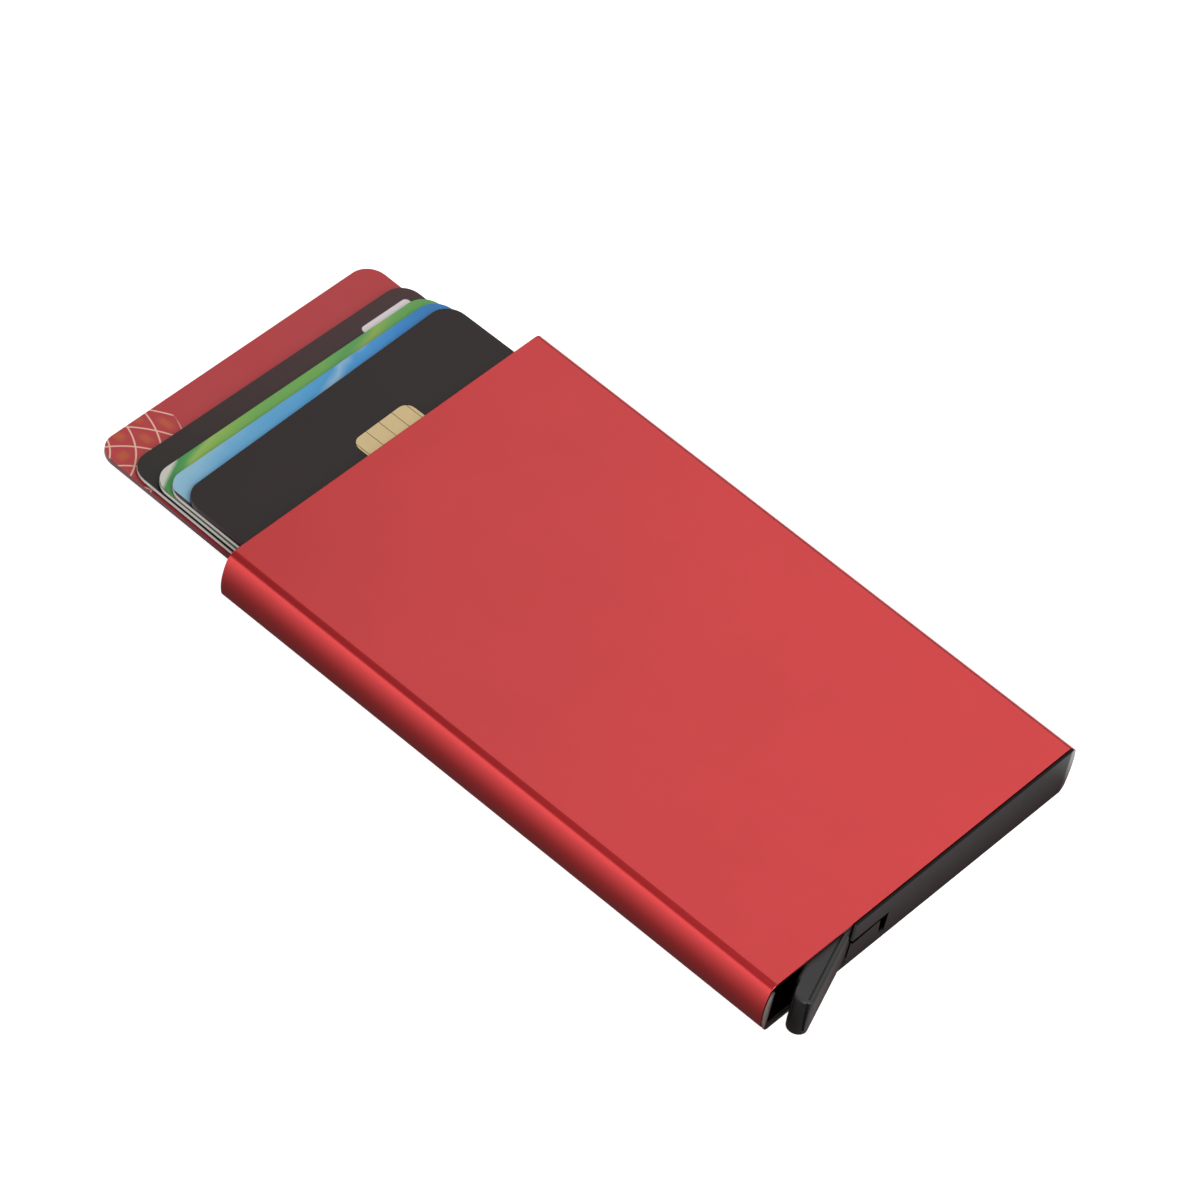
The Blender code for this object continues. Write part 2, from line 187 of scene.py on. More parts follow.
def whitePaper():
    # Matt paper: pale, keeps a faint shadow, and is seen white.
    material, tree = newMaterial("white paper floor")
    path = addNode(tree, "ShaderNodeLightPath")
    seen = addNode(tree, "ShaderNodeMath", {"operation": "MAXIMUM"},
                   {0: path.outputs["Is Camera Ray"], 1: path.outputs["Is Transmission Ray"]})
    level = addNode(tree, "ShaderNodeMath", {"operation": "MULTIPLY", 1: studio["floorGlow"]},
                    {0: seen.outputs[0]})
    light = addNode(tree, "ShaderNodeEmission", {"Color": (1, 1, 1, 1)}, {"Strength": level.outputs[0]})
    paper = addNode(tree, "ShaderNodeBsdfDiffuse", {"Color": toLinear(studio["floorColour"])})
    both = addNode(tree, "ShaderNodeAddShader", None, {0: light.outputs[0], 1: paper.outputs[0]})
    # Painted shade and painted red bounce light, seen only in gloss: near the object the floor's reflection
    # is painted darker, as in the object's own shade, and redder, as if lit red by the sleeve.
    place = addNode(tree, "ShaderNodeTexCoord")
    parts = addNode(tree, "ShaderNodeSeparateXYZ", None, {0: place.outputs["Object"]})
    sideways = addNode(tree, "ShaderNodeMath", {"operation": "ABSOLUTE"}, {0: parts.outputs[0]})
    nearer = addNode(tree, "ShaderNodeMath", {"operation": "MULTIPLY", 1: -1.0}, {0: parts.outputs[1]})
    spread = addNode(tree, "ShaderNodeCombineXYZ", None,
                     {0: sideways.outputs[0], 1: nearer.outputs[0], 2: parts.outputs[1]})
    past = addNode(tree, "ShaderNodeVectorMath", {"operation": "SUBTRACT", 1: studio["footprint"]},
                   {0: spread.outputs[0]})
    scaled = addNode(tree, "ShaderNodeVectorMath", {"operation": "MULTIPLY", 1: studio["mirrorSides"]},
                     {0: past.outputs[0]})
    outside = addNode(tree, "ShaderNodeVectorMath", {"operation": "MAXIMUM", 1: (0, 0, 0)},
                      {0: scaled.outputs[0]})
    away = addNode(tree, "ShaderNodeVectorMath", {"operation": "LENGTH"}, {0: outside.outputs[0]})
    share = addNode(tree, "ShaderNodeMapRange", {"From Max": studio["mirrorReach"]},
                    {"Value": away.outputs["Value"]})
    ramp = addNode(tree, "ShaderNodeValToRGB", None, {0: share.outputs[0]})
    peak = studio["mirrorPeak"]
    fillRamp(ramp, [(spot, (red / peak, rest / peak, rest / peak, 1))
                    for spot, red, rest in studio["mirrorStops"]])
    mirrored = addNode(tree, "ShaderNodeEmission", {"Strength": peak}, {"Color": ramp.outputs[0]})
    whole = addNode(tree, "ShaderNodeMixShader", None,
                    {0: path.outputs["Is Glossy Ray"], 1: both.outputs[0], 2: mirrored.outputs[0]})
    finishMaterial(tree, whole)
    return material


def addFloor():
    bm = bmesh.new()
    bmesh.ops.create_grid(bm, x_segments=1, y_segments=1, size=studio["floorSize"] / 2)
    bmesh.ops.translate(bm, verts=bm.verts, vec=(0, 0, -studio["floorDrop"] * mm))
    mesh = bpy.data.meshes.new("floor")
    bm.to_mesh(mesh)
    bm.free()
    floor = bpy.data.objects.new("floor", mesh)
    scene.collection.objects.link(floor)
    mesh.materials.append(whitePaper())


addPanels()
addWorld()
addFloor()
print("studio built")


# Materials. Lengths in the dictionaries are in mm, and a grain is the size of one speck.

def anodisedAluminium():
    # Bead-blasted, dyed and sealed: a deep red metal under a clear oxide film, with a very fine grain.
    look = {"colour": "DC3134", "pale": "E23437", "inside": "3A0C0E", "roughness": 0.36, "smoother": 0.004,
            "rougher": 0.006, "grain": 0.16, "bump": 0.12, "bumpDepth": 0.01, "cloud": 14,
            "cloudFrom": 0.3, "cloudTo": 0.7, "film": 0.88, "filmRoughness": 0.16}
    # The bore, whose inside is painted dark as painted shade and has no film there: its sides are arcs about
    # two centres, its roof and floor are flat.
    bore = {"centre": 20.94, "middle": 4.2, "radius": 10.45, "roof": 3.85}
    material, tree = newMaterial("red anodised aluminium")
    place = addNode(tree, "ShaderNodeTexCoord")
    grain = addNode(tree, "ShaderNodeTexNoise", {"Scale": 1000 / look["grain"] / 2, "Detail": 2.0},
                    {"Vector": place.outputs["Object"]})
    cloud = addNode(tree, "ShaderNodeTexNoise", {"Scale": 1000 / look["cloud"], "Detail": 3.0},
                    {"Vector": place.outputs["Object"]})
    blend = addNode(tree, "ShaderNodeMapRange",
                    {"From Min": look["cloudFrom"], "From Max": look["cloudTo"]},
                    {"Value": cloud.outputs["Fac"]})
    colour = addNode(tree, "ShaderNodeMix", {"data_type": "RGBA", 6: toLinear(look["colour"]),
                                             7: toLinear(look["pale"])}, {0: blend.outputs[0]})
    inMm = addNode(tree, "ShaderNodeVectorMath", {"operation": "MULTIPLY_ADD", 1: (1000, 1000, 1000),
                                                  2: (0, 0, -bore["middle"])}, {0: place.outputs["Object"]})
    folded = addNode(tree, "ShaderNodeVectorMath", {"operation": "ABSOLUTE"}, {0: inMm.outputs[0]})
    parts = addNode(tree, "ShaderNodeSeparateXYZ", None, {0: folded.outputs[0]})
    beyond = addNode(tree, "ShaderNodeMath", {"operation": "SUBTRACT", 1: bore["centre"]},
                     {0: parts.outputs[1]})
    kept = addNode(tree, "ShaderNodeMath", {"operation": "MAXIMUM", 1: 0.0}, {0: beyond.outputs[0]})
    joined = addNode(tree, "ShaderNodeCombineXYZ", None, {0: kept.outputs[0], 1: parts.outputs[2]})
    radius = addNode(tree, "ShaderNodeVectorMath", {"operation": "LENGTH"}, {0: joined.outputs[0]})
    inSides = addNode(tree, "ShaderNodeMath", {"operation": "LESS_THAN", 1: bore["radius"]},
                      {0: radius.outputs["Value"]})
    inRoof = addNode(tree, "ShaderNodeMath", {"operation": "LESS_THAN", 1: bore["roof"]},
                     {0: parts.outputs[2]})
    # Painted shade: inside the bore the red is painted dark and the film's gloss is taken off.
    inside = addNode(tree, "ShaderNodeMath", {"operation": "MULTIPLY"},
                     {0: inSides.outputs[0], 1: inRoof.outputs[0]})
    shaded = addNode(tree, "ShaderNodeMix", {"data_type": "RGBA", 7: toLinear(look["inside"])},
                     {0: inside.outputs[0], 6: colour.outputs[2]})
    rough = addNode(tree, "ShaderNodeMapRange",
                    {"From Min": look["cloudFrom"], "From Max": look["cloudTo"],
                     "To Min": look["roughness"] - look["smoother"],
                     "To Max": look["roughness"] + look["rougher"]},
                    {"Value": cloud.outputs["Fac"]})
    bump = addNode(tree, "ShaderNodeBump", {"Strength": look["bump"], "Distance": look["bumpDepth"] * mm},
                   {"Height": grain.outputs["Fac"]})
    film = addNode(tree, "ShaderNodeMapRange", {"To Min": look["film"], "To Max": 0.0},
                   {"Value": inside.outputs[0]})
    shader = addNode(tree, "ShaderNodeBsdfPrincipled",
                     {"Metallic": 1.0, "Coat Roughness": look["filmRoughness"]},
                     {"Base Color": shaded.outputs[2], "Roughness": rough.outputs[0],
                      "Coat Weight": film.outputs[0], "Normal": bump.outputs[0]})
    finishMaterial(tree, shader)
    return material


def facing(tree, way, low, high):
    # How far a surface faces one way: 0 below the low share, 1 above the high share.
    sense = addNode(tree, "ShaderNodeNewGeometry")
    share = addNode(tree, "ShaderNodeVectorMath", {"operation": "DOT_PRODUCT", 1: way},
                    {0: sense.outputs["Normal"]})
    return addNode(tree, "ShaderNodeMapRange", {"From Min": low, "From Max": high},
                   {"Value": share.outputs["Value"]})


def awayFromBox(tree, spot, middle, half):
    # How far a point lies outside a box.
    moved = addNode(tree, "ShaderNodeVectorMath", {"operation": "SUBTRACT", 1: middle}, {0: spot})
    folded = addNode(tree, "ShaderNodeVectorMath", {"operation": "ABSOLUTE"}, {0: moved.outputs[0]})
    past = addNode(tree, "ShaderNodeVectorMath", {"operation": "SUBTRACT", 1: half}, {0: folded.outputs[0]})
    only = addNode(tree, "ShaderNodeVectorMath", {"operation": "MAXIMUM", 1: (0, 0, 0)},
                   {0: past.outputs[0]})
    away = addNode(tree, "ShaderNodeVectorMath", {"operation": "LENGTH"}, {0: only.outputs[0]})
    return away.outputs["Value"]


# Zones of the cap: two corners of a box, and how soft its border is.
capZones = {
    "farFacet": ((47.9, 29.95, -1), (49, 33, 9), 0.03),
    "nearRim": ((47.9, -33, -1), (49, -31.4, 9), 0.4),
    "topRim": ((47.9, -33, 8.3), (48.3, 33, 9), 0.12),
    "slit": ((48.0, -14.55, 4.1), (48.5, -8.9, 5.0), 0.03),
    "stripEnd": ((47.95, -14.75, 0.8), (48.4, -14.4, 8.3), 0.03),
}
slitEdge = {"slope": 0.0633, "low": 5.17, "high": 5.23}
leverOpen = 19.5  # degrees from shut


def insideZone(tree, name):
    # 1 inside a zone, 0 outside it, with a soft border.
    low, high, soft = capZones[name]
    place = addNode(tree, "ShaderNodeTexCoord")
    middle = tuple((a + b) / 2 * mm for a, b in zip(low, high))
    half = tuple((b - a) / 2 * mm for a, b in zip(low, high))
    away = awayFromBox(tree, place.outputs["Object"], middle, half)
    return addNode(tree, "ShaderNodeMapRange", {"From Max": soft * mm, "To Min": 1.0, "To Max": 0.0},
                   {"Value": away})


def farFacet(tree):
    # Partly painted light: the slanted end of the cap is smoother, and is painted paler for the light it
    # catches.
    return insideZone(tree, "farFacet")


def nearRim(tree):
    # Painted highlight: the thin rim round the thumb recess is painted paler, for the light on its edge.
    return insideZone(tree, "nearRim")


def topRim(tree):
    # The upper rim beside the seam lies in the shade of the sleeve's end.
    return insideZone(tree, "topRim")


def slit(tree):
    # Painted shade: the slit over the latch tongue is painted dark, and so is the tongue's eased upper edge,
    # which slopes.
    place = addNode(tree, "ShaderNodeTexCoord")
    height = addNode(tree, "ShaderNodeVectorMath",
                     {"operation": "DOT_PRODUCT", 1: (0, -slitEdge["slope"], 1)},
                     {0: place.outputs["Object"]})
    above = addNode(tree, "ShaderNodeMapRange",
                    {"From Min": slitEdge["low"] * mm, "From Max": slitEdge["high"] * mm},
                    {"Value": height.outputs["Value"]})
    box = insideZone(tree, "slit")
    return addNode(tree, "ShaderNodeMath", {"operation": "MULTIPLY"},
                   {0: above.outputs[0], 1: box.outputs[0]})


def stripEnd(tree):
    # Painted light: the narrow wall that the lever's root swings past is painted paler, to lift the shade in
    # its narrow pit.
    side = facing(tree, (0, -1, 0), 0.7, 0.9)
    box = insideZone(tree, "stripEnd")
    return addNode(tree, "ShaderNodeMath", {"operation": "MULTIPLY"}, {0: side.outputs[0], 1: box.outputs[0]})


def gripFace(tree):
    # Painted shade: the rounded lip that the thumb pushes, where it faces the near side, is painted darker
    # than the rest of the lever, with less gloss.
    turn = math.radians(leverOpen)
    return facing(tree, (math.sin(turn), -math.cos(turn), 0.1), 0.5, 0.75)


plastic = {"cloudScale": 250.0, "ior": 1.52, "gloss": 0.5, "bump": 0.25, "bumpDepth": 0.015}


def mouldedPlastic(name, look, patches=()):
    # ABS from a spark-eroded mould: matt, with an even fine texture. Patches are painted light or shade, each
    # with its own roughness and gloss.
    material, tree = newMaterial(name)
    place = addNode(tree, "ShaderNodeTexCoord")
    spark = addNode(tree, "ShaderNodeTexNoise", {"Scale": 1000 / look["grain"] / 2, "Detail": 2.0},
                    {"Vector": place.outputs["Object"]})
    cloud = addNode(tree, "ShaderNodeTexNoise", {"Scale": plastic["cloudScale"], "Detail": 2.0},
                    {"Vector": place.outputs["Object"]})
    colour = addNode(tree, "ShaderNodeMix", {"data_type": "RGBA", 6: toLinear(look["colour"]),
                                             7: toLinear(look["pale"])}, {0: cloud.outputs["Fac"]})
    bump = addNode(tree, "ShaderNodeBump",
                   {"Strength": plastic["bump"], "Distance": plastic["bumpDepth"] * mm},
                   {"Height": spark.outputs["Fac"]})
    shader = addNode(tree, "ShaderNodeBsdfPrincipled",
                     {"Roughness": look["roughness"], "IOR": plastic["ior"],
                      "Specular IOR Level": plastic["gloss"]},
                     {"Base Color": colour.outputs[2], "Normal": bump.outputs[0]})
    for where, patch in patches:
        mask = where(tree)
        base = shader.inputs["Base Color"]
        mixed = addNode(tree, "ShaderNodeMix", {"data_type": "RGBA", 7: toLinear(patch["colour"])},
                        {0: mask.outputs[0], 6: base.links[0].from_socket})
        tree.links.new(mixed.outputs[2], base)
        for socket, key in (("Roughness", "roughness"), ("Specular IOR Level", "gloss")):
            target = shader.inputs[socket]
            mixed = addNode(tree, "ShaderNodeMix", {2: target.default_value, 3: patch[key]},
                            {0: mask.outputs[0]})
            if target.links:
                tree.links.new(target.links[0].from_socket, mixed.inputs[2])
            tree.links.new(mixed.outputs[0], target)
    finishMaterial(tree, shader)
    return material


def drawnSteel(name, along):
    # Cold-drawn or rolled steel: fine lines along the way it was worked.
    look = {"dark": "A9AAAB", "pale": "C6C6C5", "smooth": 0.22, "rough": 0.4}
    material, tree = newMaterial(name)
    place = addNode(tree, "ShaderNodeTexCoord")
    stretch = addNode(tree, "ShaderNodeMapping", {"Scale": along}, {"Vector": place.outputs["Object"]})
    lines = addNode(tree, "ShaderNodeTexNoise", {"Scale": 1.0, "Detail": 3.0},
                    {"Vector": stretch.outputs[0]})
    rough = addNode(tree, "ShaderNodeMapRange", {"To Min": look["smooth"], "To Max": look["rough"]},
                    {"Value": lines.outputs["Fac"]})
    colour = addNode(tree, "ShaderNodeMix", {"data_type": "RGBA", 6: toLinear(look["dark"]),
                                             7: toLinear(look["pale"])}, {0: lines.outputs["Fac"]})
    shader = addNode(tree, "ShaderNodeBsdfPrincipled", {"Metallic": 1.0},
                     {"Base Color": colour.outputs[2], "Roughness": rough.outputs[0]})
    finishMaterial(tree, shader)
    return material


def pressedFelt():
    # Pressed wool felt: no gloss, a nap of short crossed fibres.
    look = {"dark": "141414", "pale": "2A2A2B", "fibres": 3500.0, "tangle": 1.2, "nap": 0.08}
    material, tree = newMaterial("black pressed felt")
    place = addNode(tree, "ShaderNodeTexCoord")
    fibres = addNode(tree, "ShaderNodeTexNoise",
                     {"Scale": look["fibres"], "Detail": 5.0, "Distortion": look["tangle"]},
                     {"Vector": place.outputs["Object"]})
    colour = addNode(tree, "ShaderNodeMix", {"data_type": "RGBA", 6: toLinear(look["dark"]),
                                             7: toLinear(look["pale"])}, {0: fibres.outputs["Fac"]})
    bump = addNode(tree, "ShaderNodeBump", {"Strength": 0.8, "Distance": look["nap"] * mm},
                   {"Height": fibres.outputs["Fac"]})
    shader = addNode(tree, "ShaderNodeBsdfPrincipled", {"Roughness": 0.95, "Sheen Weight": 0.3},
                     {"Base Color": colour.outputs[2], "Normal": bump.outputs[0]})
    finishMaterial(tree, shader)
    return material


# The cards. Lead is the middle of the leading edge, yaw is in degrees, top is the height of the face.
cards = {
    "card_red": {"lead": (-75.65, 0.44), "yaw": -0.45, "edge": "5E2A31", "skin": "4A161B", "top": 2.210},
    "card_charcoal": {"lead": (-69.75, 0.67), "yaw": -0.89, "edge": "CFC8C6", "skin": "1E1A18", "top": 3.267},
    "card_green": {"lead": (-65.74, 0.55), "yaw": -0.73, "edge": "CFC9C2", "skin": "1D211C", "top": 4.324},
    "card_blue": {"lead": (-63.45, 0.34), "yaw": -0.46, "edge": "D0CACA", "skin": "1C1E20", "top": 5.381},
    "card_black": {"lead": (-60.65, 0.0), "yaw": 0.88, "edge": "3A2426", "skin": "241819", "top": 6.438},
}
halfWidth = 27.0  # of a card, over which its print runs
laminate = {
    "middle": 0.38, "core": 0.24, "coreSoft": 0.05,  # the pale core line in the cut edge
    "faceFrom": 0.45, "faceTo": 0.75,  # upright share of the normal at which the print begins
    "ripple": 500.0, "bump": 0.06, "bumpDepth": 0.02, "ior": 1.53,
}


def cardPlace(tree, name):
    # Millimetres on the card: x from the leading edge, y from the middle.
    card = cards[name]
    place = addNode(tree, "ShaderNodeTexCoord")
    return addNode(tree, "ShaderNodeMapping", {
        "vector_type": "TEXTURE",
        "Location": (card["lead"][0] * mm, card["lead"][1] * mm, 0),
        "Rotation": (0, 0, math.radians(card["yaw"])),
        "Scale": (mm, mm, mm),
    }, {"Vector": place.outputs["Object"]})


def laminatedCard(tree, name, colour, roughness=0.3, gloss=0.5):
    # PVC sheets pressed between polished plates: glossy face, and a cut edge with a paler core line.
    sense = addNode(tree, "ShaderNodeNewGeometry")
    parts = addNode(tree, "ShaderNodeSeparateXYZ", None, {0: sense.outputs["Normal"]})
    size = addNode(tree, "ShaderNodeMath", {"operation": "ABSOLUTE"}, {0: parts.outputs[2]})
    face = addNode(tree, "ShaderNodeMapRange",
                   {"From Min": laminate["faceFrom"], "From Max": laminate["faceTo"]},
                   {"Value": size.outputs[0]})
    place = addNode(tree, "ShaderNodeTexCoord")
    height = addNode(tree, "ShaderNodeSeparateXYZ", None, {0: place.outputs["Object"]})
    middle = (cards[name]["top"] - laminate["middle"]) * mm
    offset = addNode(tree, "ShaderNodeMath", {"operation": "SUBTRACT", 1: middle}, {0: height.outputs[2]})
    apart = addNode(tree, "ShaderNodeMath", {"operation": "ABSOLUTE"}, {0: offset.outputs[0]})
    low = (laminate["core"] - laminate["coreSoft"]) * mm
    high = (laminate["core"] + laminate["coreSoft"]) * mm
    layer = addNode(tree, "ShaderNodeMapRange", {"From Min": low, "From Max": high},
                    {"Value": apart.outputs[0]})
    cut = addNode(tree, "ShaderNodeMix", {"data_type": "RGBA", 6: toLinear(cards[name]["edge"]),
                                          7: toLinear(cards[name]["skin"])}, {0: layer.outputs[0]})
    mixed = addNode(tree, "ShaderNodeMix", {"data_type": "RGBA"},
                    {0: face.outputs[0], 6: cut.outputs[2], 7: colour})
    ripple = addNode(tree, "ShaderNodeTexNoise", {"Scale": laminate["ripple"], "Detail": 2.0},
                     {"Vector": place.outputs["Object"]})
    bump = addNode(tree, "ShaderNodeBump",
                   {"Strength": laminate["bump"], "Distance": laminate["bumpDepth"] * mm},
                   {"Height": ripple.outputs["Fac"]})
    shader = addNode(tree, "ShaderNodeBsdfPrincipled",
                     {"Roughness": roughness, "IOR": laminate["ior"], "Specular IOR Level": gloss},
                     {"Base Color": mixed.outputs[2], "Normal": bump.outputs[0]})
    finishMaterial(tree, shader)


def redCard():
    # Plain red print, with fine cream arcs crossing in one corner.
    motif = {"firstCentre": (-3.0, -31.0, 0), "secondCentre": (13.0, -33.0, 0), "spacing": 3.5,
             "line": 0.085, "lineEnd": 0.153, "corner": (0.0, -27.0, 0), "reach": 12.5, "border": 0.25,
             "warmFrom": 0.9, "warmTo": 2.2, "warmth": 0.8, "ground": "B02D32", "pale": "AC383C",
             "warm": "B5552C", "cream": "DDB09A"}
    material, tree = newMaterial("red printed card")
    spot = cardPlace(tree, "card_red")
    flat = addNode(tree, "ShaderNodeVectorMath", {"operation": "MULTIPLY", 1: (1, 1, 0)},
                   {0: spot.outputs[0]})
    waves = []
    for centre in ("firstCentre", "secondCentre"):
        away = addNode(tree, "ShaderNodeVectorMath", {"operation": "DISTANCE", 1: motif[centre]},
                       {0: flat.outputs[0]})
        wave = addNode(tree, "ShaderNodeMath", {"operation": "PINGPONG", 1: motif["spacing"] / 2},
                       {0: away.outputs["Value"]})
        waves.append(wave.outputs[0])
    nearest = addNode(tree, "ShaderNodeMath", {"operation": "MINIMUM"}, {0: waves[0], 1: waves[1]})
    line = addNode(tree, "ShaderNodeMapRange",
                   {"From Min": motif["line"], "From Max": motif["lineEnd"], "To Min": 1.0, "To Max": 0.0},
                   {"Value": nearest.outputs[0]})
    fromCorner = addNode(tree, "ShaderNodeVectorMath", {"operation": "DISTANCE", 1: motif["corner"]},
                         {0: flat.outputs[0]})
    area = addNode(tree, "ShaderNodeMapRange",
                   {"From Min": motif["reach"], "From Max": motif["reach"] + motif["border"],
                    "To Min": 1.0, "To Max": 0.0},
                   {"Value": fromCorner.outputs["Value"]})
    both = addNode(tree, "ShaderNodeMath", {"operation": "MULTIPLY"}, {0: waves[0], 1: waves[1]})
    tint = addNode(tree, "ShaderNodeMapRange",
                   {"From Min": motif["warmFrom"], "From Max": motif["warmTo"], "To Max": motif["warmth"]},
                   {"Value": both.outputs[0]})
    tinted = addNode(tree, "ShaderNodeMath", {"operation": "MULTIPLY"},
                     {0: tint.outputs[0], 1: area.outputs[0]})
    drawn = addNode(tree, "ShaderNodeMath", {"operation": "MULTIPLY"},
                    {0: line.outputs[0], 1: area.outputs[0]})
    soft = addNode(tree, "ShaderNodeTexNoise", {"Scale": 0.08, "Detail": 1.0}, {"Vector": spot.outputs[0]})
    ground = addNode(tree, "ShaderNodeMix", {"data_type": "RGBA", 6: toLinear(motif["ground"]),
                                             7: toLinear(motif["pale"])}, {0: soft.outputs["Fac"]})
    warm = addNode(tree, "ShaderNodeMix", {"data_type": "RGBA", 7: toLinear(motif["warm"])},
                   {0: tinted.outputs[0], 6: ground.outputs[2]})
    colour = addNode(tree, "ShaderNodeMix", {"data_type": "RGBA", 7: toLinear(motif["cream"])},
                     {0: drawn.outputs[0], 6: warm.outputs[2]})
    laminatedCard(tree, "card_red", colour.outputs[2])
    return material


def charcoalCard():
    # Dark print that warms towards the far side, with a small white panel.
    panel = {"middle": (5.4, 20.3, 0), "half": (2.95, 4.6, 10), "round": 0.7, "soft": 0.06,
             "colour": "D9D2D3"}
    stops = [(0.0, "22201A"), (0.2, "2B2220"), (0.5, "3A2626"), (1.0, "422B2B")]
    material, tree = newMaterial("charcoal printed card")
    spot = cardPlace(tree, "card_charcoal")
    parts = addNode(tree, "ShaderNodeSeparateXYZ", None, {0: spot.outputs[0]})
    across = addNode(tree, "ShaderNodeMapRange", {"From Min": -halfWidth, "From Max": halfWidth},
                     {"Value": parts.outputs[1]})
    ramp = addNode(tree, "ShaderNodeValToRGB", None, {0: across.outputs[0]})
    fillRamp(ramp, [(position, toLinear(colour)) for position, colour in stops])
    inner = tuple(h - panel["round"] for h in panel["half"])
    away = awayFromBox(tree, spot.outputs[0], panel["middle"], inner)
    shown = addNode(tree, "ShaderNodeMapRange",
                    {"From Min": panel["round"] - panel["soft"], "From Max": panel["round"] + panel["soft"],
                     "To Min": 1.0, "To Max": 0.0}, {"Value": away})
    colour = addNode(tree, "ShaderNodeMix", {"data_type": "RGBA", 7: toLinear(panel["colour"])},
                     {0: shown.outputs[0], 6: ramp.outputs[0]})
    laminatedCard(tree, "card_charcoal", colour.outputs[2], 0.3, 0.36)
    return material


sweep = {"slant": 2.6, "drift": 0.16, "edgeShadeSoft": 0.05}


def sweptCard(name, title, stops, wander, edgeShade=None):
    # A print that runs from one colour to the next across the card, its borders wandering softly.
    material, tree = newMaterial(title)
    spot = cardPlace(tree, name)
    drift = addNode(tree, "ShaderNodeTexNoise", {"Scale": sweep["drift"], "Detail": 2.0},
                    {"Vector": spot.outputs[0]})
    parts = addNode(tree, "ShaderNodeSeparateXYZ", None, {0: spot.outputs[0]})
    shift = addNode(tree, "ShaderNodeMapRange", {"To Min": -wander, "To Max": wander},
                    {"Value": drift.outputs["Fac"]})
    slant = addNode(tree, "ShaderNodeMath", {"operation": "MULTIPLY_ADD", 1: sweep["slant"]},
                    {0: parts.outputs[0], 2: parts.outputs[1]})
    moved = addNode(tree, "ShaderNodeMath", {"operation": "ADD"}, {0: slant.outputs[0], 1: shift.outputs[0]})
    across = addNode(tree, "ShaderNodeMapRange", {"From Min": -halfWidth, "From Max": halfWidth},
                     {"Value": moved.outputs[0]})
    ramp = addNode(tree, "ShaderNodeValToRGB", None, {0: across.outputs[0]})
    fillRamp(ramp, [(position, toLinear(colour)) for position, colour in stops])
    colour = ramp.outputs[0]
    # Painted shade: a dark band along the card's near edge, where it shows from under the card above.
    if edgeShade:
        border = addNode(tree, "ShaderNodeMapRange",
                         {"From Min": edgeShade["y"] - sweep["edgeShadeSoft"], "From Max": edgeShade["y"] + sweep["edgeShadeSoft"],
                          "To Min": 1.0, "To Max": 0.0}, {"Value": parts.outputs[1]})
        edgeShaded = addNode(tree, "ShaderNodeMix", {"data_type": "RGBA", 7: toLinear(edgeShade["colour"])},
                         {0: border.outputs[0], 6: colour})
        colour = edgeShaded.outputs[2]
    laminatedCard(tree, name, colour)
    return material


def blackCard():
    # Plain black-brown print under a matt laminate.
    look = {"dark": "221919", "pale": "271D1C", "cloud": 0.05}
    material, tree = newMaterial("black printed card")
    spot = cardPlace(tree, "card_black")
    soft = addNode(tree, "ShaderNodeTexNoise", {"Scale": look["cloud"], "Detail": 1.0},
                   {"Vector": spot.outputs[0]})
    colour = addNode(tree, "ShaderNodeMix", {"data_type": "RGBA", 6: toLinear(look["dark"]),
                                             7: toLinear(look["pale"])}, {0: soft.outputs["Fac"]})
    laminatedCard(tree, "card_black", colour.outputs[2], 0.38, 0.36)
    return material


def goldContact():
    # Thin gold over nickel on a printed foil: pale, satin, with faint rolling lines.
    look = {"colour": "EAD09C", "pale": "F0D8A6", "lines": 900.0}
    material, tree = newMaterial("gold-plated contact foil")
    place = addNode(tree, "ShaderNodeTexCoord")
    lines = addNode(tree, "ShaderNodeTexNoise", {"Scale": look["lines"], "Detail": 3.0},
                    {"Vector": place.outputs["Object"]})
    colour = addNode(tree, "ShaderNodeMix", {"data_type": "RGBA", 6: toLinear(look["colour"]),
                                             7: toLinear(look["pale"])}, {0: lines.outputs["Fac"]})
    shader = addNode(tree, "ShaderNodeBsdfPrincipled", {"Metallic": 0.85, "Roughness": 0.42},
                     {"Base Color": colour.outputs[2]})
    finishMaterial(tree, shader)
    return material


def contactGap():
    # The dark resin between the contacts.
    look = {"dark": "5A4A2E", "pale": "6B5A3A", "grain": 2500.0}
    material, tree = newMaterial("dark contact resin")
    place = addNode(tree, "ShaderNodeTexCoord")
    grain = addNode(tree, "ShaderNodeTexNoise", {"Scale": look["grain"], "Detail": 2.0},
                    {"Vector": place.outputs["Object"]})
    colour = addNode(tree, "ShaderNodeMix", {"data_type": "RGBA", 6: toLinear(look["dark"]),
                                             7: toLinear(look["pale"])}, {0: grain.outputs["Fac"]})
    shader = addNode(tree, "ShaderNodeBsdfPrincipled", {"Roughness": 0.6, "IOR": 1.5},
                     {"Base Color": colour.outputs[2]})
    finishMaterial(tree, shader)
    return material


capLook = {"colour": "222324", "pale": "262728", "grain": 0.12, "roughness": 0.46}
capPatches = [
    # The far facet's paler colour is painted light.
    (farFacet, {"colour": "45403E", "roughness": 0.16, "gloss": 0.5}),
    # The near rim's pale colour is a painted highlight.
    (nearRim, {"colour": "7C706A", "roughness": 0.3, "gloss": 0.5}),
    (topRim, {"colour": "120C0C", "roughness": 0.6, "gloss": 0.2}),
    # The slit's near-black is painted shade.
    (slit, {"colour": "060505", "roughness": 0.8, "gloss": 0.0}),
    # The strip end's paler colour is painted light.
    (stripEnd, {"colour": "4C4947", "roughness": 0.5, "gloss": 0.5}),
]
leverLook = {"colour": "2A2929", "pale": "2E2D2D", "grain": 0.12, "roughness": 0.44}
